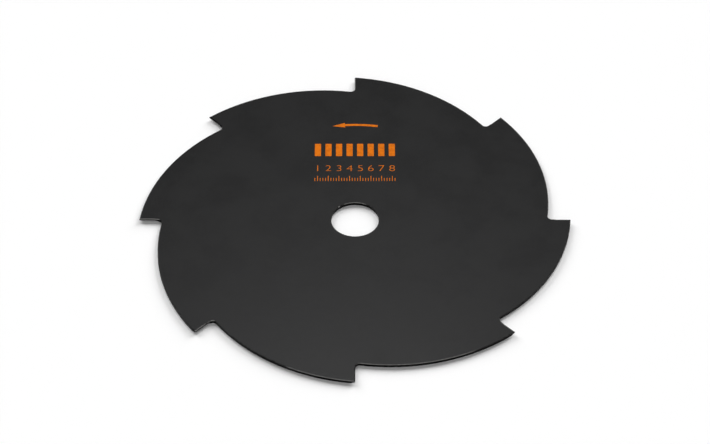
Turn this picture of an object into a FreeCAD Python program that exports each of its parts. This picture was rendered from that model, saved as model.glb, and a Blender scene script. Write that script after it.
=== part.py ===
# Brush cutter blade: a flat disc of hardened steel with sawtooth cutting teeth and a centre bore.
# Millimetres. The underside lies in the plane z = 0, the printed side faces +Z, the bore's axis
# is the Z axis and one tooth points along +X. Seen from the printed side the blade turns
# counter-clockwise, so each tooth has its cutting face on its counter-clockwise side.
import FreeCAD
import Part
import Sketcher

import math
import os

# Driving dimensions: name, value, what it is.
SIZES = [
    ("tip_diameter", 230.0, "circle through the tooth tips"),
    ("bore_diameter", 25.4, "centre bore, the standard one inch arbor"),
    ("plate_thickness", 2.0, "rolled sheet that the blade is stamped from"),
    ("tooth_count", 8, "teeth round the rim"),
    ("tooth_depth", 12.5, "from the tips to where a tooth's back would meet the next face"),
    ("relief_angle", 5.6, "how far a tooth's back falls away behind its tip, in degrees"),
    ("gullet_radius", 2.25, "round between a cutting face and the back behind it"),
    ("edge_break", 0.3, "small slope on every edge of the stamped plate"),
    ("facet_width", 0.55, "slope ground along the cutting edge on the printed side"),
    ("facet_angle", 45.0, "angle of that slope to the plate, in degrees"),
    ("edge_land", 0.1, "upright land left between the two ground slopes"),
    ("grind_angle", 24.0, "angle of the cutting bevel on the underside, in degrees"),
    ("edge_start", 5.0, "from the foot of a tooth to where its cutting edge has full depth"),
    ("wheel_radius", 5.0, "round of the small wheel whose run-out ends each ground slope"),
    ("cut_clearance", 1.0, "how far each cutting profile reaches past the tips"),
]

# The number that a sketch gives its own X axis, which starts at the sketch's origin.
X_AXIS = -1


def start_of(curve):
    """The point where a sketch's curve starts, as constraints name it."""
    return curve, 1


def end_of(curve):
    """The point where a sketch's curve ends."""
    return curve, 2


def centre_of(curve):
    """The centre of a sketch's arc or circle."""
    return curve, 3


def rule(kind, *places):
    """A sketch constraint; each place is a curve's number, a point of a curve, or a size."""
    numbers = []
    for place in places:
        numbers.extend(place if isinstance(place, tuple) else [place])
    return Sketcher.Constraint(kind, *numbers)


def add_sizes(doc):
    """Put the driving dimensions in a spreadsheet, one named cell each."""
    sheet = doc.addObject("Spreadsheet::Sheet", "Sizes")
    for row, (name, value, meaning) in enumerate(SIZES, start=1):
        sheet.set(f"A{row}", name)
        sheet.set(f"B{row}", str(value))
        sheet.set(f"C{row}", meaning)
        sheet.setAlias(f"B{row}", name)
    doc.recompute()
    return sheet


def origin_feature(body, role):
    """One of the body's own origin planes or axes."""
    for feature in body.Origin.OriginFeatures:
        if feature.Role == role:
            return feature
    raise ValueError(f"the body has no {role}")


def add_sketch(body, name, plane):
    """An empty sketch on one of the body's origin planes."""
    sketch = body.newObject("Sketcher::SketchObject", name)
    sketch.AttachmentSupport = [(origin_feature(body, plane), "")]
    sketch.MapMode = "FlatFace"
    return sketch


def bind(sketch, name, constraint, expression):
    """Add a dimension to a sketch, name it and tie it to the spreadsheet."""
    index = sketch.addConstraint(constraint)
    sketch.renameConstraint(index, name)
    sketch.setExpression(f"Constraints.{name}", expression)


def cut_through(body, sketch, name, forwards):
    """Cut a sketch's profile right through, to the side it faces or to the side behind it."""
    before = body.Tip.Shape.Volume
    pocket = body.newObject("PartDesign::Pocket", name)
    pocket.Profile = sketch
    pocket.Type = "ThroughAll"
    pocket.Reversed = forwards
    body.Document.recompute()
    if pocket.Shape.Volume >= before:
        raise ValueError(f"{name} cuts nothing")
    return pocket


def repeat_round_bore(body, features, name):
    """Repeat features once for each tooth, evenly round the bore's axis."""
    pattern = body.newObject("PartDesign::PolarPattern", name)
    pattern.Originals = features
    pattern.Axis = (origin_feature(body, "Z_Axis"), [""])
    pattern.Angle = 360.0
    pattern.setExpression("Occurrences", "Sizes.tooth_count")
    body.Tip = pattern
    body.Document.recompute()
    return pattern


def add_blank(body, sheet):
    """The stamped ring: a disc as wide as the tips, with the bore through it."""
    sketch = add_sketch(body, "BlankOutline", "XY_Plane")
    centre = FreeCAD.Vector(0, 0, 0)
    up = FreeCAD.Vector(0, 0, 1)
    rim = sketch.addGeometry(Part.Circle(centre, up, sheet.tip_diameter / 2))
    bore = sketch.addGeometry(Part.Circle(centre, up, sheet.bore_diameter / 2))
    for circle in (rim, bore):
        sketch.addConstraint(rule("Coincident", centre_of(circle), start_of(X_AXIS)))
    rim_size = rule("Diameter", rim, sheet.tip_diameter)
    bore_size = rule("Diameter", bore, sheet.bore_diameter)
    bind(sketch, "tip_diameter", rim_size, "Sizes.tip_diameter")
    bind(sketch, "bore_diameter", bore_size, "Sizes.bore_diameter")
    pad = body.newObject("PartDesign::Pad", "Blank")
    pad.Profile = sketch
    pad.setExpression("Length", "Sizes.plate_thickness")
    body.Document.recompute()


def direction(degrees):
    """A unit vector in the plate's plane, counter-clockwise from the X axis."""
    turn = math.radians(degrees)
    return FreeCAD.Vector(math.cos(turn), math.sin(turn), 0)


def notch_points(sheet):
    """The notch's few defining points, so that its sketch is drawn in its final form."""
    pitch = 360 / sheet.tooth_count
    tip = direction(pitch) * (sheet.tip_diameter / 2)
    root = FreeCAD.Vector(sheet.tip_diameter / 2 - sheet.tooth_depth, 0, 0)
    # The back is the one arc through root and tip that meets the tip at the relief angle.
    spoke = direction(pitch - sheet.relief_angle)
    chord = root - tip
    back_radius = -chord.dot(chord) / (2 * chord.dot(spoke))
    back_centre = tip - spoke * back_radius
    # The gullet's round touches the cutting face on the X axis and the back from outside.
    reach = back_radius + sheet.gullet_radius
    rise = sheet.gullet_radius - back_centre.y
    gullet_x = back_centre.x + math.sqrt(reach ** 2 - rise ** 2)
    gullet_centre = FreeCAD.Vector(gullet_x, sheet.gullet_radius, 0)
    return tip, root, back_centre, gullet_centre


def arc(centre, first, last):
    """The arc round a centre that runs counter-clockwise from one point to another."""
    circle = Part.Circle(centre, FreeCAD.Vector(0, 0, 1), (first - centre).Length)
    start = math.atan2(first.y - centre.y, first.x - centre.x)
    stop = math.atan2(last.y - centre.y, last.x - centre.x)
    if stop < start:
        stop += 2 * math.pi
    return Part.ArcOfCircle(circle, start, stop)


def add_notches(body, sheet):
    """The notch from a cutting face on the X axis to the tip of the next tooth, repeated."""
    tip, root, back_centre, gullet_centre = notch_points(sheet)
    centre = FreeCAD.Vector(0, 0, 0)
    outer_radius = sheet.tip_diameter / 2 + sheet.cut_clearance
    face_foot = FreeCAD.Vector(gullet_centre.x, 0, 0)
    face_end = FreeCAD.Vector(outer_radius, 0, 0)
    past_tip = tip * (outer_radius / tip.Length)
    towards_gullet = (gullet_centre - back_centre).normalize()
    back_foot = gullet_centre - towards_gullet * sheet.gullet_radius

    sketch = add_sketch(body, "NotchOutline", "XY_Plane")
    face = sketch.addGeometry(Part.LineSegment(face_foot, face_end))
    gullet = sketch.addGeometry(arc(gullet_centre, back_foot, face_foot))
    back = sketch.addGeometry(arc(back_centre, back_foot, tip))
    closing = sketch.addGeometry(Part.LineSegment(tip, past_tip))
    outer = sketch.addGeometry(arc(centre, face_end, past_tip))
    spoke = sketch.addGeometry(Part.LineSegment(centre, tip), True)
    back_spoke = sketch.addGeometry(Part.LineSegment(back_centre, tip), True)
    root_point = sketch.addGeometry(Part.Point(root), True)

    sketch.addConstraint([
        rule("PointOnObject", start_of(face), X_AXIS),
        rule("PointOnObject", end_of(face), X_AXIS),
        rule("Tangent", start_of(face), end_of(gullet)),
        rule("Tangent", start_of(gullet), start_of(back)),
        rule("Coincident", end_of(back), start_of(closing)),
        rule("Coincident", end_of(closing), end_of(outer)),
        rule("Coincident", start_of(outer), end_of(face)),
        rule("Coincident", centre_of(outer), start_of(X_AXIS)),
        rule("Coincident", start_of(spoke), start_of(X_AXIS)),
        rule("Coincident", end_of(spoke), end_of(back)),
        rule("Coincident", start_of(back_spoke), centre_of(back)),
        rule("Coincident", end_of(back_spoke), end_of(back)),
        rule("PointOnObject", end_of(closing), spoke),
        rule("PointOnObject", start_of(root_point), X_AXIS),
        rule("PointOnObject", start_of(root_point), back),
    ])
    pitch = math.radians(360 / sheet.tooth_count)
    relief = math.radians(sheet.relief_angle)
    spoke_size = rule("Distance", spoke, tip.Length)
    spoke_turn = rule("Angle", spoke, pitch)
    back_turn = rule("Angle", back_spoke, pitch - relief)
    root_size = rule("DistanceX", start_of(X_AXIS), start_of(root_point), root.x)
    gullet_size = rule("Radius", gullet, sheet.gullet_radius)
    outer_size = rule("Radius", outer, outer_radius)
    bind(sketch, "tip_radius", spoke_size, "Sizes.tip_diameter / 2")
    bind(sketch, "pitch", spoke_turn, "360 deg / Sizes.tooth_count")
    bind(sketch, "relief", back_turn, "360 deg / Sizes.tooth_count - Sizes.relief_angle * 1 deg")
    bind(sketch, "root_radius", root_size, "Sizes.tip_diameter / 2 - Sizes.tooth_depth")
    bind(sketch, "gullet_radius", gullet_size, "Sizes.gullet_radius")
    bind(sketch, "outer_radius", outer_size, "Sizes.tip_diameter / 2 + Sizes.cut_clearance")
    notch = cut_through(body, sketch, "Notch", True)
    return repeat_round_bore(body, [notch], "Notches")


def break_edges(body, plate):
    """Slope every edge of the plate's two flat sides, round the teeth and the bore."""
    flat_edges = []
    for number, edge in enumerate(plate.Shape.Edges, start=1):
        heights = [vertex.Z for vertex in edge.Vertexes]
        if max(heights) - min(heights) < plate.Shape.BoundBox.ZLength / 2:
            flat_edges.append(f"Edge{number}")
    chamfer = body.newObject("PartDesign::Chamfer", "EdgeBreak")
    chamfer.Base = (plate, flat_edges)
    chamfer.setExpression("Size", "Sizes.edge_break")
    body.Document.recompute()


def add_ground_slope(body, sheet, name, height, lean, forwards):
    """One slope ground along the cutting edge on the X axis, ending in the wheel's round.

    The sketch stands in the cutting face and leans until its Y axis points square out of the
    slope. height and lean are the spreadsheet expressions for the slope's line on the cutting
    face and for that lean, and forwards says which way the metal lies from the sketch.
    """
    radius = sheet.wheel_radius
    full_depth = sheet.tip_diameter / 2 - sheet.tooth_depth + sheet.edge_start
    past_tip = sheet.tip_diameter / 2 + sheet.cut_clearance
    slope_foot = FreeCAD.Vector(full_depth, 0, 0)
    slope_tip = FreeCAD.Vector(past_tip, 0, 0)
    wheel_centre = FreeCAD.Vector(full_depth, radius, 0)
    wheel_side = FreeCAD.Vector(full_depth - radius, radius, 0)
    corner = FreeCAD.Vector(past_tip, radius, 0)

    sketch = add_sketch(body, f"{name}Profile", "XZ_Plane")
    about_edge = FreeCAD.Rotation(FreeCAD.Vector(-1, 0, 0), 1)
    sketch.AttachmentOffset = FreeCAD.Placement(FreeCAD.Vector(0, 0, 0), about_edge)
    sketch.setExpression("AttachmentOffset.Base.y", height)
    sketch.setExpression("AttachmentOffset.Rotation.Angle", lean)
    slope = sketch.addGeometry(Part.LineSegment(slope_foot, slope_tip))
    outer = sketch.addGeometry(Part.LineSegment(slope_tip, corner))
    far = sketch.addGeometry(Part.LineSegment(corner, wheel_side))
    wheel = sketch.addGeometry(arc(wheel_centre, wheel_side, slope_foot))
    sketch.addConstraint([
        rule("PointOnObject", start_of(slope), X_AXIS),
        rule("PointOnObject", end_of(slope), X_AXIS),
        rule("Tangent", start_of(slope), end_of(wheel)),
        rule("Coincident", end_of(slope), start_of(outer)),
        rule("Vertical", outer),
        rule("Coincident", end_of(outer), start_of(far)),
        rule("Horizontal", far),
        rule("Coincident", end_of(far), start_of(wheel)),
        rule("Horizontal", centre_of(wheel), start_of(wheel)),
    ])
    foot_place = rule("DistanceX", start_of(X_AXIS), start_of(slope), full_depth)
    tip_place = rule("DistanceX", start_of(X_AXIS), end_of(slope), past_tip)
    wheel_size = rule("Radius", wheel, radius)
    tip_radius = "Sizes.tip_diameter / 2"
    bind(sketch, "full_depth", foot_place, f"{tip_radius} - Sizes.tooth_depth + Sizes.edge_start")
    bind(sketch, "past_tip", tip_place, f"{tip_radius} + Sizes.cut_clearance")
    bind(sketch, "wheel_radius", wheel_size, "Sizes.wheel_radius")
    body.Document.recompute()
    return cut_through(body, sketch, name, forwards)


def add_cutting_edges(body, sheet):
    """Grind each cutting face to an edge: a bevel below it and a narrow facet above it."""
    facet_foot = "Sizes.plate_thickness - Sizes.facet_width * tan(Sizes.facet_angle * 1 deg)"
    bevel_top = f"{facet_foot} - Sizes.edge_land"
    facet_lean = "Sizes.facet_angle * 1 deg"
    bevel_lean = "180 deg - Sizes.grind_angle * 1 deg"
    facet = add_ground_slope(body, sheet, "Facet", facet_foot, facet_lean, True)
    bevel = add_ground_slope(body, sheet, "Bevel", bevel_top, bevel_lean, False)
    repeat_round_bore(body, [facet, bevel], "CuttingEdges")


def make_blade(doc, sheet):
    """The whole blade as one body."""
    body = doc.addObject("PartDesign::Body", "Blade")
    body.Label = "blade"
    body.Placement = FreeCAD.Placement()
    add_blank(body, sheet)
    notches = add_notches(body, sheet)
    break_edges(body, notches)
    add_cutting_edges(body, sheet)
    return body


def check_document(doc, bodies):
    """Stop before anything is written if a feature failed or a body isn't one sound solid."""
    for item in doc.Objects:
        if "Invalid" in item.State or "Error" in item.State:
            raise ValueError(f"{item.Name} failed: {item.State}")
    for body in bodies:
        shape = body.Shape
        if shape.isNull() or not shape.isValid() or len(shape.Solids) != 1:
            raise ValueError(f"{body.Label} isn't one sound solid")


def main():
    """Build the document and write each body's shape to its own file."""
    doc = FreeCAD.newDocument("BrushCutterBlade")
    sheet = add_sizes(doc)
    bodies = [make_blade(doc, sheet)]
    doc.recompute()
    check_document(doc, bodies)
    os.makedirs("parts", exist_ok=True)
    for body in bodies:
        body.Shape.exportStep(f"parts/{body.Label}.step")
        volume = body.Shape.Volume
        print(f"{body.Label}: {volume:.0f} cubic mm, {len(body.Shape.Faces)} faces")


main()
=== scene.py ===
import math

import bmesh
import bpy
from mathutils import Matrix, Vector


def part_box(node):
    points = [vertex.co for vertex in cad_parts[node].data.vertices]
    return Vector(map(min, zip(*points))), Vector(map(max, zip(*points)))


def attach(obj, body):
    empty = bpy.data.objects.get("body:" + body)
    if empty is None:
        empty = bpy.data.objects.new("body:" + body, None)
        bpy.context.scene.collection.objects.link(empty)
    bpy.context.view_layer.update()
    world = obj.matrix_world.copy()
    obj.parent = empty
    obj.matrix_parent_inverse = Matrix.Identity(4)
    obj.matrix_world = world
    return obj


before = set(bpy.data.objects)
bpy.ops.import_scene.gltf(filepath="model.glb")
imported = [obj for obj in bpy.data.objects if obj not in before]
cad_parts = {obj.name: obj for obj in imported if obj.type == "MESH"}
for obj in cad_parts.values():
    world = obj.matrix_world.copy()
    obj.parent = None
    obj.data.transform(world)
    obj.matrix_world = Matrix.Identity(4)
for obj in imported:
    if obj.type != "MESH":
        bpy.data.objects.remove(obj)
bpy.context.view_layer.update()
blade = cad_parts["blade"]
blade_low, blade_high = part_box("blade")
MM = 0.001
tip_radius = blade_high.x / MM      # in millimetres, as all sizes on the blade below
thickness = (blade_high.z - blade_low.z) / MM
print(f"blade: {len(blade.data.polygons)} faces, {2 * tip_radius:.1f} mm over the tips,"
      f" {thickness:.2f} mm thick")

# %% [markdown]
# The camera
#
# A product photographer stands back and uses a long lens, so that a round thing looks round and
# its near edge doesn't swell. The blade lies on a table and the camera looks down at it at about
# 45 degrees from 1.2 m away. A camera could be turned with three angles, but it is easier to say
# where it stands and what it looks at, and let Blender work out the turn.
# %% The camera
CAMERA_PLACE = Vector((-1.0, -876.4, 865.2)) * MM
CAMERA_AIM = Vector((0.0, -2.15, 2.0)) * MM
CAMERA_LENS = 117.0     # long lens, in millimetres on a 36 mm wide sensor

camera_data = bpy.data.cameras.new("camera")
camera_data.lens = CAMERA_LENS
camera = bpy.data.objects.new("camera", camera_data)
camera.location = CAMERA_PLACE
camera.rotation_euler = (CAMERA_AIM - CAMERA_PLACE).to_track_quat("-Z", "Y").to_euler()
bpy.context.scene.collection.objects.link(camera)
bpy.context.scene.camera = camera
bpy.context.view_layer.update()
print(f"camera: {(CAMERA_AIM - CAMERA_PLACE).length:.2f} m from the blade")

# %% [markdown]
# Where points fall in the picture
#
# Before anything is dressed, it helps to know that the camera sees the blade as planned. A camera
# works like a pinhole: how far across the picture a point falls is how far it lies to the side,
# divided by how far away it is. The helper does that sum, here for the four tips on the axes.
# %% Where points fall in the picture
PICTURE = (710, 444)    # width and height of the finished picture in pixels


def picture_point(place):
    """Where a point of the scene falls, in pixels from the picture's top left corner."""
    seen = camera.matrix_world.inverted() @ Vector(place)
    pixels = PICTURE[0] * camera_data.lens / camera_data.sensor_width
    return PICTURE[0] / 2 - pixels * seen.x / seen.z, PICTURE[1] / 2 + pixels * seen.y / seen.z


for side, x, y in (("right", 1, 0), ("far", 0, 1), ("left", -1, 0), ("near", 0, -1)):
    tip = Vector((x * tip_radius, y * tip_radius, thickness)) * MM
    across, down = picture_point(tip)
    print(f"{side} tip at {across:.1f}, {down:.1f}")

# %% [markdown]
# Building materials from nodes
#
# Every surface here is worked out by nodes from the place of each point, with no picture files,
# so it can be looked at as closely as we like. A few small helpers keep the recipes short: one
# adds a node, and the others do arithmetic, a mask with soft edges, or a blend of two colours.
# %% Helpers for nodes
NOISE_LOW, NOISE_HIGH = 0.3, 0.7        # nearly all of a noise lies between these


def add_node(tree, kind, inputs=None, **settings):
    """Add a node; each input is a plain value, or another node's output to link to it."""
    node = tree.nodes.new(kind)
    for name, value in settings.items():
        setattr(node, name, value)
    for name, value in (inputs or {}).items():
        if isinstance(value, bpy.types.NodeSocket):
            tree.links.new(value, node.inputs[name])
        else:
            node.inputs[name].default_value = value
    return node


def calculate(tree, operation, first, second=0.0):
    """One step of arithmetic on two numbers or outputs."""
    return add_node(tree, "ShaderNodeMath", {0: first, 1: second}, operation=operation).outputs[0]


def plus(tree, first, second):
    """Two numbers or outputs added."""
    return calculate(tree, "ADD", first, second)


def times(tree, first, second):
    """Two numbers or outputs multiplied, which also keeps what two masks have in common."""
    return calculate(tree, "MULTIPLY", first, second)


def mask(tree, value, none_at, full_at):
    """0 where the value is at none_at, 1 where it is at full_at, and smooth between them."""
    ends = {"Value": value, "From Min": none_at, "From Max": full_at}
    return add_node(tree, "ShaderNodeMapRange", ends, interpolation_type="SMOOTHSTEP").outputs[0]


def spread(tree, value, low, high):
    """Stretch a noise over the range from low to high."""
    ends = {"Value": value, "From Min": NOISE_LOW, "From Max": NOISE_HIGH,
            "To Min": low, "To Max": high}
    return add_node(tree, "ShaderNodeMapRange", ends).outputs[0]


def blend_colours(tree, factor, first, second):
    """The first colour where the factor is 0, the second where it is 1."""
    ends = {0: factor, 6: first, 7: second}
    return add_node(tree, "ShaderNodeMix", ends, data_type="RGBA").outputs[2]


# %% [markdown]
# Places and grains in millimetres
#
# Sizes on a blade are easiest to think of in millimetres, so the materials work in them. They
# start from object coordinates, which stay on the blade if it moves, and multiply them by a
# thousand. A noise can then be asked for by the size of its grains.
# %% Places, noise and a new material
def place_in_mm(tree):
    """Each point's place on the blade, in millimetres from the middle of its underside."""
    coordinates = add_node(tree, "ShaderNodeTexCoord")
    inputs = {0: coordinates.outputs["Object"], "Scale": 1 / MM}
    return add_node(tree, "ShaderNodeVectorMath", inputs, operation="SCALE").outputs[0]


def noise(tree, place, grain, detail=2.0, stretch=(1.0, 1.0, 1.0)):
    """Cloudy noise whose grains are about that many millimetres, longer where stretch is more."""
    sizes = tuple(1 / (grain * length) for length in stretch)
    inputs = {0: place, 1: sizes}
    scaled = add_node(tree, "ShaderNodeVectorMath", inputs, operation="MULTIPLY").outputs[0]
    inputs = {"Vector": scaled, "Scale": 1.0, "Detail": detail}
    return add_node(tree, "ShaderNodeTexNoise", inputs).outputs[0]


def add_bump(tree, shader, height):
    """Let a height in millimetres tilt the way the shader's surface faces."""
    inputs = {"Height": height, "Strength": 1.0, "Distance": MM}
    tree.links.new(add_node(tree, "ShaderNodeBump", inputs).outputs[0], shader.inputs["Normal"])


def new_material(name):
    """An empty node material with one Principled shader on its output."""
    material = bpy.data.materials.new(name)
    material.use_nodes = True
    return material, material.node_tree, material.node_tree.nodes["Principled BSDF"]


# %% [markdown]
# Telling the blade's surfaces apart
#
# The CAD blade is one mesh, but its flat faces, its stamped walls, its sloped edges and its
# ground cutting edges don't look alike. They could be painted by hand, face by face. Here the
# nodes tell them apart by which way they face and where they are, which needs no painting and
# holds for any number of teeth. The teeth are 45 degrees apart, so the angle round the bore says
# how far a point is from the nearest cutting face.
# %% Where a point lies on its tooth
TEETH = 8
TOOTH_ANGLE = math.tau / TEETH


def place_on_tooth(tree, x, y):
    """How far a point lies from the bore's axis, and from the nearest cutting face round it."""
    radius = calculate(tree, "SQRT", plus(tree, times(tree, x, x), times(tree, y, y)))
    turn = calculate(tree, "DIVIDE", calculate(tree, "ARCTAN2", y, x), TOOTH_ANGLE)
    past = calculate(tree, "SUBTRACT", turn, calculate(tree, "ROUND", turn))
    beside = times(tree, times(tree, past, TOOTH_ANGLE), radius)
    return radius, beside


# %% Masks for the blade's surfaces
GROUND_HEIGHT = 12.0    # how far in from the tips the ground edges reach
GROUND_REACH = 3.2      # how far behind a cutting face the grinding reaches
FADE_INWARDS, FADE_BACK = 0.5, 0.2      # lengths over which the ground edges' mask ends
RUB_DEPTH = (0.26, 0.36)        # depths in the upper edges between which their rub ends

# How far a surface looks up or down goes from 0, upright, to 1, flat.
WALL_TO_SLOPE = (0.1, 0.4)      # up to the first it is a wall, from the second on it is sloped
SLOPE_TO_FLAT = (0.93, 0.99)
LOOKS_UP = (0.3, 0.5)
LOOKS_AHEAD = (0.3, 0.42)       # the same for looking the way that the teeth cut


def blade_masks(tree, place):
    """Masks for walls, worn edges and ground edges, and the place in a tooth's own directions."""
    x, y, z = add_node(tree, "ShaderNodeSeparateXYZ", {0: place}).outputs
    facing = add_node(tree, "ShaderNodeNewGeometry").outputs["True Normal"]
    face_x, face_y, face_z = add_node(tree, "ShaderNodeSeparateXYZ", {0: facing}).outputs
    radius, beside = place_on_tooth(tree, x, y)
    along = add_node(tree, "ShaderNodeCombineXYZ", {0: radius, 1: beside, 2: z}).outputs[0]

    flatness = calculate(tree, "ABSOLUTE", face_z)
    wall = mask(tree, flatness, *reversed(WALL_TO_SLOPE))
    not_flat = mask(tree, flatness, *reversed(SLOPE_TO_FLAT))
    sloped = times(tree, mask(tree, flatness, *WALL_TO_SLOPE), not_flat)

    turning = calculate(tree, "SUBTRACT", times(tree, face_y, x), times(tree, face_x, y))
    ahead = mask(tree, calculate(tree, "DIVIDE", turning, radius), *LOOKS_AHEAD)
    foot = tip_radius - GROUND_HEIGHT
    on_tooth = mask(tree, radius, foot, foot + FADE_INWARDS)
    near_edge = mask(tree, beside, -GROUND_REACH - FADE_BACK, -GROUND_REACH)
    ground = times(tree, times(tree, sloped, ahead), times(tree, near_edge, on_tooth))

    below_rub = mask(tree, z, thickness - RUB_DEPTH[0], thickness - RUB_DEPTH[1])
    unrubbed = times(tree, mask(tree, face_z, *LOOKS_UP), below_rub)
    worn = times(tree, sloped, calculate(tree, "SUBTRACT", 1.0, unrubbed))
    return wall, worn, ground, along


# %% [markdown]
# The black satin coating
#
# The coating is a thin dipped or sprayed layer, baked hard. It is a very dark grey, so full of
# pigment that it has only a weak, soft shine. It could be made pure black with a strong shine,
# but then it would be a black hole wherever it mirrors no lamp, and the real one isn't. So the
# colour does most of the work and the shine a little. Both drift from place to place, which
# gives the faint clouds that such a coat has.
# %% The coating's colour
COATING_BLACK = (0.0103, 0.0103, 0.0105, 1.0)
COATING_CLOUD = (0.0129, 0.0129, 0.0131, 1.0)
CLOUD_SIZE = 26.0
SOFT_CLOUDS = (0.35, 0.65)      # levels of the noise between which one grey turns to the other

coating, tree, shader = new_material("black_satin_coating")
place = place_in_mm(tree)
wall, worn, ground, along = blade_masks(tree, place)
clouds = noise(tree, place, CLOUD_SIZE, detail=4.0)
cloudy = blend_colours(tree, mask(tree, clouds, *SOFT_CLOUDS), COATING_BLACK, COATING_CLOUD)
print("coating:", len(tree.nodes), "nodes for its masks and colour")

# %% [markdown]
# Worn edges and walls in painted shade
#
# On the sloped edges the coat is thin and rubbed, and the dark steel under it gleams through.
# Metal has no colour of its own in shade and shines like a dull mirror, so these edges are black
# from most sides and catch the light from a few. The rub is patchy, but even where the wheel has
# ground. The stamped walls are rough and carry the same coat as the faces. Their near black colour
# and half metal, which mirrors little, are painted shade that makes them as dark as walls in
# shade. With the coat's own colour they would come out too grey in the light from the front.
# %% Worn edges and walls in painted shade
# Painted shade: the walls get a near black colour and half metal instead of the coat's own grey.
WALL_PAINTED_SHADE = (0.0025, 0.0025, 0.0026, 1.0)
DARK_STEEL = (0.21, 0.207, 0.202, 1.0)
WEAR_SIZE = 1.4
LEAST_WEAR = 0.6        # share of the rub where it is weakest
WALL_METAL = 0.5

wear = spread(tree, noise(tree, place, WEAR_SIZE, detail=3.0), LEAST_WEAR, 1.0)
rubbed = times(tree, worn, calculate(tree, "MAXIMUM", wear, ground))
# The walls take the painted shade in place of the coat's clouded grey.
coat_and_wall_shade = blend_colours(tree, wall, cloudy, WALL_PAINTED_SHADE)
colour = blend_colours(tree, rubbed, coat_and_wall_shade, DARK_STEEL)
metal = plus(tree, rubbed, times(tree, wall, WALL_METAL))
tree.links.new(colour, shader.inputs["Base Color"])
tree.links.new(metal, shader.inputs["Metallic"])
print("coating:", len(tree.nodes), "nodes with its edges and walls")

# %% [markdown]
# How rough each surface is
#
# Roughness says how far a surface blurs what it mirrors. A satin coat lies between gloss and
# matt. A rubbed edge is smooth, a stamped wall is coarse, and a ground edge lies between the two
# because of the wheel's scratches. So each mask adds its share to the coat's roughness or takes
# some away. The strength of the shine is one number for the whole shader.
# %% Shine and roughness
COATING_SHINE = 0.065   # clear lacquer has 0.5
ROUGH_LOW, ROUGH_HIGH = 0.26, 0.30
SPECK_SIZE = 0.5
SPECK_ROUGH = 0.02      # what the fine specks add or take away
WALL_ROUGH = 0.16
RUB_ROUGH = -0.19
GROUND_ROUGH = 0.10

specks = noise(tree, place, SPECK_SIZE, detail=3.0)
rough_coat = plus(tree, spread(tree, clouds, ROUGH_LOW, ROUGH_HIGH),
                  spread(tree, specks, -SPECK_ROUGH, SPECK_ROUGH))
rough_edge = plus(tree, times(tree, worn, RUB_ROUGH), times(tree, ground, GROUND_ROUGH))
rough_cut = plus(tree, times(tree, wall, WALL_ROUGH), rough_edge)
tree.links.new(plus(tree, rough_coat, rough_cut), shader.inputs["Roughness"])
shader.inputs["Specular IOR Level"].default_value = COATING_SHINE
print("coating:", len(tree.nodes), "nodes with its roughness")

# %% [markdown]
# What stamping and grinding leave behind
#
# A stamped wall is never smooth: the punch drags fine upright lines through the sheet, and the
# lower part, where the steel tore instead of being cut, is rougher. The ground edges carry the
# wheel's fine scratches, square to the edge. Both lie under the coating and show through it as
# bump. Each is a noise that is stretched far in one direction, held to its own surface by the
# masks from before. The coat itself has a fine skin like that of an orange.
# %% The coating's skin
PEEL_SIZE, PEEL_HEIGHT = 1.5, 0.0035
SPECK_HEIGHT = 0.0012

peel = times(tree, noise(tree, place, PEEL_SIZE), PEEL_HEIGHT)
skin = plus(tree, peel, times(tree, specks, SPECK_HEIGHT))
print(f"skin: up to {PEEL_HEIGHT + SPECK_HEIGHT:.4f} mm high")

# %% Marks in the stamped walls
WALL_MARK_HEIGHT = 0.02
SHEAR_SIZE, SHEAR_LONG = 0.35, (1.0, 1.0, 12.0)         # long in the direction of the stroke
TEAR_SIZE = 0.3
TEAR_STARTS, TEAR_FULL = 0.55, 0.30     # shares of the thickness, up from the underside

shear_lines = noise(tree, place, SHEAR_SIZE, detail=3.0, stretch=SHEAR_LONG)
height_in_wall = add_node(tree, "ShaderNodeSeparateXYZ", {0: place}).outputs[2]
torn = mask(tree, height_in_wall, TEAR_STARTS * thickness, TEAR_FULL * thickness)
tear = times(tree, noise(tree, place, TEAR_SIZE, detail=4.0), torn)
wall_marks = times(tree, plus(tree, shear_lines, tear), WALL_MARK_HEIGHT)
print(f"tear: from {TEAR_STARTS * thickness:.2f} mm up the wall down to the underside")

# %% Scratches on the ground edges
SCRATCH_HEIGHT = 0.006
SCRATCH_SIZE, SCRATCH_LONG = 0.12, (1.0, 40.0, 40.0)    # narrow along the edge, long across

scratches = noise(tree, along, SCRATCH_SIZE, detail=3.0, stretch=SCRATCH_LONG)
edge_marks = times(tree, scratches, SCRATCH_HEIGHT)
marks = plus(tree, times(tree, wall_marks, wall), times(tree, edge_marks, ground))
add_bump(tree, shader, plus(tree, skin, marks))
print("coating:", len(tree.nodes), "nodes in all")

# %% [markdown]
# Putting the coating on
#
# The blade from CAD comes with a plain material. Its shape stays as it is, and only the material
# in its slot is changed for the new one, so that the coating covers every face of it.
# %% The coated blade
blade.data.materials.clear()
blade.data.materials.append(coating)
print("materials on the blade:", len(blade.data.materials))

# %% [markdown]
# The orange ink
#
# The print is pad printed: a soft pad presses a film of ink on the coating, a few hundredths of a
# millimetre thick. It covers well but not perfectly, so the colour thins a little in clouds and a
# few pinholes let the black through. It could be a colour painted into the coating's nodes. As
# thin pieces of its own it keeps crisp outlines at any distance, and catches the light as a
# film of its own does.
# %% The ink
INK = (0.74, 0.172, 0.001, 1.0)
INK_THIN = (0.60, 0.137, 0.001, 1.0)
INK_SHINE = 0.04        # matt ink
INK_ROUGH_THIN, INK_ROUGH_FULL = 0.48, 0.40
DENSITY_SIZE, THIN_TO_FULL = 2.4, (0.35, 0.6)
PINHOLE_SIZE, PINHOLE_PEAKS = 0.28, (0.72, 0.78)        # a noise seldom gets so high
INK_SKIN_SIZE, INK_SKIN_HEIGHT = 0.6, 0.004

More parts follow.
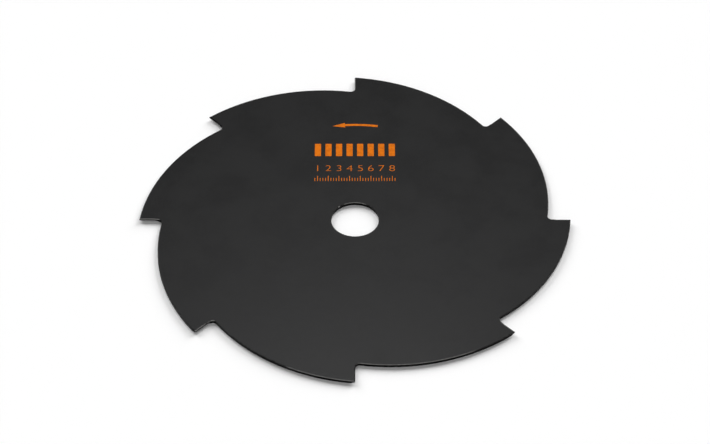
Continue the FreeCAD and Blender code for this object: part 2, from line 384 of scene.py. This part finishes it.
ink, tree, shader = new_material("orange_ink")
place = place_in_mm(tree)
density = noise(tree, place, DENSITY_SIZE, detail=4.0)
pinholes = mask(tree, noise(tree, place, PINHOLE_SIZE, detail=1.0), *PINHOLE_PEAKS)
ink_colour = blend_colours(tree, mask(tree, density, *THIN_TO_FULL), INK_THIN, INK)
colour = blend_colours(tree, pinholes, ink_colour, COATING_CLOUD)
tree.links.new(colour, shader.inputs["Base Color"])
roughness = spread(tree, density, INK_ROUGH_THIN, INK_ROUGH_FULL)
tree.links.new(roughness, shader.inputs["Roughness"])
shader.inputs["Specular IOR Level"].default_value = INK_SHINE
ink_skin = noise(tree, place, INK_SKIN_SIZE, detail=3.0)
add_bump(tree, shader, times(tree, ink_skin, INK_SKIN_HEIGHT))
print("ink:", len(tree.nodes), "nodes")

# %% [markdown]
# Films of ink from outlines
#
# Each shape of the print is an outline on the blade, filled and given the ink's thickness. It is
# sunk a hair into the coating so that no gap shows, and stands two hundredths of a millimetre
# proud of it.
# %% A film from outlines
INK_PROUD = 0.02        # ink above the coating, in millimetres
INK_SUNK = 0.01         # and below it


def ink_film(name, outlines):
    """One piece of print: every outline is a list of places in millimetres, counter-clockwise."""
    mesh = bpy.data.meshes.new(name)
    film = bmesh.new()
    for outline in outlines:
        corners = [film.verts.new((x * MM, y * MM, blade_high.z - INK_SUNK * MM))
                   for x, y in outline]
        face = film.faces.new(corners)
        raised = bmesh.ops.extrude_face_region(film, geom=[face])["geom"]
        top = [item for item in raised if isinstance(item, bmesh.types.BMVert)]
        bmesh.ops.translate(film, verts=top, vec=(0, 0, (INK_SUNK + INK_PROUD) * MM))
    bmesh.ops.recalc_face_normals(film, faces=film.faces)
    film.to_mesh(mesh)
    film.free()
    return print_piece(name, mesh)


def print_piece(name, mesh):
    """Put a mesh of the print on the blade."""
    piece = bpy.data.objects.new(name, mesh)
    bpy.context.scene.collection.objects.link(piece)
    mesh.materials.append(ink)
    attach(piece, "root")
    print(f"{name}: {len(mesh.polygons)} faces")
    return piece


# %% [markdown]
# The arrow
#
# A curved arrow shows which way the blade turns, so that it is put on the right way up. It follows
# a circle round the bore. It is drawn as one outline: along the outer side of the shaft, round
# the head, and back along the inner side.
# %% The arrow of the turning direction
ARROW_RADIUS = 74.7     # circle that the arrow follows, in millimetres
ARROW_WIDTH = 1.6
HEAD_HALF = 1.85        # half the width of the head
ARROW_TAIL, HEAD_BASE, ARROW_TIP = 80.2, 94.2, 99.5     # places round the circle, in degrees
SHAFT_STEPS = 24


def round_bore(radius, degrees):
    """A place on the blade from its distance and direction from the bore."""
    angle = math.radians(degrees)
    return radius * math.cos(angle), radius * math.sin(angle)


shaft = [ARROW_TAIL + (HEAD_BASE - ARROW_TAIL) * step / SHAFT_STEPS
         for step in range(SHAFT_STEPS + 1)]
outer_side = [round_bore(ARROW_RADIUS + ARROW_WIDTH / 2, angle) for angle in shaft]
inner_side = [round_bore(ARROW_RADIUS - ARROW_WIDTH / 2, angle) for angle in reversed(shaft)]
head = [round_bore(ARROW_RADIUS + HEAD_HALF, HEAD_BASE), round_bore(ARROW_RADIUS, ARROW_TIP),
        round_bore(ARROW_RADIUS - HEAD_HALF, HEAD_BASE)]
ink_film("print_arrow", [outer_side + head + inner_side])

# %% [markdown]
# The field of plain blocks
#
# Below the arrow is the boldest part of the print. Here it is a row of eight plain blocks, one
# for each tooth, as wide and as high as the print on such a blade. Their corners are a little
# round, because ink creeps at a corner.
# %% The row of blocks
BLOCK_PITCH = 5.8       # from one block to the next, in millimetres
BLOCK_WIDTH = 3.4
BLOCK_FOOT, BLOCK_TOP = 49.3, 59.2
CORNER = 0.3            # round at a block's corners
CORNER_STEPS = 4


def block(middle, width, foot, top, corner):
    """The outline of a rectangle with rounded corners."""
    outline = []
    left, right = middle - width / 2, middle + width / 2
    centres = ((right - corner, top - corner), (left + corner, top - corner),
               (left + corner, foot + corner), (right - corner, foot + corner))
    for quarter, (x, y) in enumerate(centres):
        for step in range(CORNER_STEPS + 1):
            angle = (quarter + step / CORNER_STEPS) * math.pi / 2
            outline.append((x + corner * math.cos(angle), y + corner * math.sin(angle)))
    return outline


middles = [BLOCK_PITCH * (number - (TEETH - 1) / 2) for number in range(TEETH)]
ink_film("print_blocks", [block(middle, BLOCK_WIDTH, BLOCK_FOOT, BLOCK_TOP, CORNER)
                          for middle in middles])

# %% [markdown]
# The numbers
#
# Two lines of small print follow. Here the first is the plain numbers 1 to 8, one under each
# block. They could be drawn as outlines like the blocks, but Blender's own font already has good
# ones. Each number is set as a text object, measured, and turned into a mesh that joins the
# others, so that all eight are one piece.
# %% The numbers
NUMBER_HEIGHT = 4.5
NUMBER_MIDDLE = 39.6
NUMBER_STRETCH = 1.12   # a little wider than the font's own shapes
NUMBER_THINNER = -0.02  # how much is taken off each stroke's sides, as a share of the font's size
FONT_DEPTH = 0.01       # any depth, so that a number has a top and a bottom to tell apart
SAME_PLACE = 1e-7       # corners closer than this, in metres, are one

numbers = bmesh.new()
for number, middle in enumerate(middles, start=1):
    curve = bpy.data.curves.new("number", "FONT")
    curve.body = str(number)
    curve.extrude = FONT_DEPTH
    curve.offset = NUMBER_THINNER
    text = bpy.data.objects.new("number", curve)
    digit = bpy.data.meshes.new_from_object(text)
    xs = [vertex.co.x for vertex in digit.vertices]
    ys = [vertex.co.y for vertex in digit.vertices]
    size = NUMBER_HEIGHT / (max(ys) - min(ys))
    for vertex in digit.vertices:
        x = middle + (vertex.co.x - (min(xs) + max(xs)) / 2) * size * NUMBER_STRETCH
        y = NUMBER_MIDDLE + (vertex.co.y - (min(ys) + max(ys)) / 2) * size
        z = INK_PROUD if vertex.co.z > 0 else -INK_SUNK
        vertex.co = (x * MM, y * MM, blade_high.z + z * MM)
    numbers.from_mesh(digit)
    bpy.data.objects.remove(text)
    bpy.data.meshes.remove(digit)
    bpy.data.curves.remove(curve)
bmesh.ops.remove_doubles(numbers, verts=numbers.verts, dist=SAME_PLACE)
bmesh.ops.recalc_face_normals(numbers, faces=numbers.faces)
numbers_mesh = bpy.data.meshes.new("print_numbers")
numbers.to_mesh(numbers_mesh)
numbers.free()
print_piece("print_numbers", numbers_mesh)

# %% [markdown]
# The scale
#
# The second line is a scale of fine strokes like the one on a ruler, with a longer stroke under
# the middle of each number. A stroke is only a narrow block, so the same outline makes it.
# %% The scale of fine strokes
STROKES_A_BLOCK = 4
STROKE_WIDTH = 0.36
STROKE_ROUND = 0.2      # round at a stroke's corners, as a share of its width
STROKE_FOOT = 29.5
LONG_STROKE, SHORT_STROKE = 4.0, 2.4

strokes = []
last_stroke = TEETH * STROKES_A_BLOCK // 2 - 1
for number in range(-last_stroke, last_stroke + 1):
    middle = number * BLOCK_PITCH / STROKES_A_BLOCK
    under_number = number % STROKES_A_BLOCK == STROKES_A_BLOCK // 2
    top = STROKE_FOOT + (LONG_STROKE if under_number else SHORT_STROKE)
    strokes.append(block(middle, STROKE_WIDTH, STROKE_FOOT, top, STROKE_WIDTH * STROKE_ROUND))
ink_film("print_scale", strokes)

# %% [markdown]
# The floor
#
# The blade lies on a plain white table that runs on out of the picture, so that nothing competes
# with it. It is one large flat sheet of plain white. All that shows of it is the blade's soft
# shadow. A hardened sheet this wide is never dead flat: it touches a table at a few points and
# stands a few tenths of a millimetre clear of it elsewhere, which makes the shadow darker close
# to the rim. The CAD blade is perfectly flat, so the floor lies that much below it instead.
# %% The floor
FLOOR_HALF = 6.0        # metres from the middle to each side
FLOOR_WHITE = (1.0, 1.0, 1.0, 1.0)
FLOOR_GAP = 0.3

floor_mesh = bpy.data.meshes.new("floor")
corners = [(x * FLOOR_HALF, y * FLOOR_HALF, -FLOOR_GAP * MM)
           for x, y in ((-1, -1), (1, -1), (1, 1), (-1, 1))]
floor_mesh.from_pydata(corners, [], [(0, 1, 2, 3)])
floor = bpy.data.objects.new("floor", floor_mesh)
bpy.context.scene.collection.objects.link(floor)
floor_white, tree, shader = new_material("floor_white")
shader.inputs["Base Color"].default_value = FLOOR_WHITE
shader.inputs["Roughness"].default_value = 1.0
shader.inputs["Specular IOR Level"].default_value = 0.0
floor_mesh.materials.append(floor_white)
print(f"floor: {2 * FLOOR_HALF:.0f} m square, {FLOOR_GAP} mm under the blade")

# %% [markdown]
# The light
#
# Five suns with wide discs light the table evenly everywhere, which lamps close to it would not.
# Two large ones stand behind, left and right, and lay the soft shadow in front of the blade. A
# narrower one above them puts the broad shine on the near half of the coating, for the camera
# looks down at the angle where the coat mirrors it. A very wide one in front finds the worn edges
# that face the camera, and a faint one far to the right finds the cutting edge of one tooth.
# With the faint glow of the world, their levels add up to one, so that a white thing comes out
# white and no more.
# %% The lamps
def wide_sun(name, azimuth, elevation, level, disc):
    """A soft sun. Azimuth counts from straight behind to the right, all angles are in degrees,
    and the level is what it adds to a flat white floor."""
    across, up = math.radians(azimuth), math.radians(elevation)
    data = bpy.data.lights.new(name, "SUN")
    data.energy = level * math.pi / math.sin(up)
    data.angle = math.radians(disc)
    lamp = bpy.data.objects.new(name, data)
    place = Vector((math.sin(across) * math.cos(up), math.cos(across) * math.cos(up), math.sin(up)))
    lamp.location = place
    lamp.rotation_euler = (-place).to_track_quat("-Z", "Y").to_euler()
    lamp.visible_camera = False
    bpy.context.scene.collection.objects.link(lamp)
    print(f"{name}: level {level}, {disc} degrees wide")
    return level


levels = [wide_sun("light_behind_right", 35, 25.5, 0.328, 33),
          wide_sun("light_behind_left", -40, 27, 0.300, 33),
          wide_sun("light_above", 0, 54, 0.156, 10),
          wide_sun("light_in_front", 180, 45, 0.193, 76),
          wide_sun("light_far_right", 104, 33, 0.003, 6)]

# %% [markdown]
# The world and the picture's colours
#
# A studio's walls throw a little light back from all round, so the world glows very faintly in
# white. The Standard view shows colours as they are written, without the softer highlights of
# Blender's usual view, so that the white floor stays white.
# %% The world and the picture's colours
WORLD_LEVEL = 0.02

world = bpy.data.worlds.new("studio")
world.use_nodes = True
background = world.node_tree.nodes["Background"]
background.inputs["Color"].default_value = (1.0, 1.0, 1.0, 1.0)
background.inputs["Strength"].default_value = WORLD_LEVEL
bpy.context.scene.world = world
bpy.context.scene.view_settings.view_transform = "Standard"
print(f"light on an open white floor: {sum(levels) + WORLD_LEVEL:.2f}")
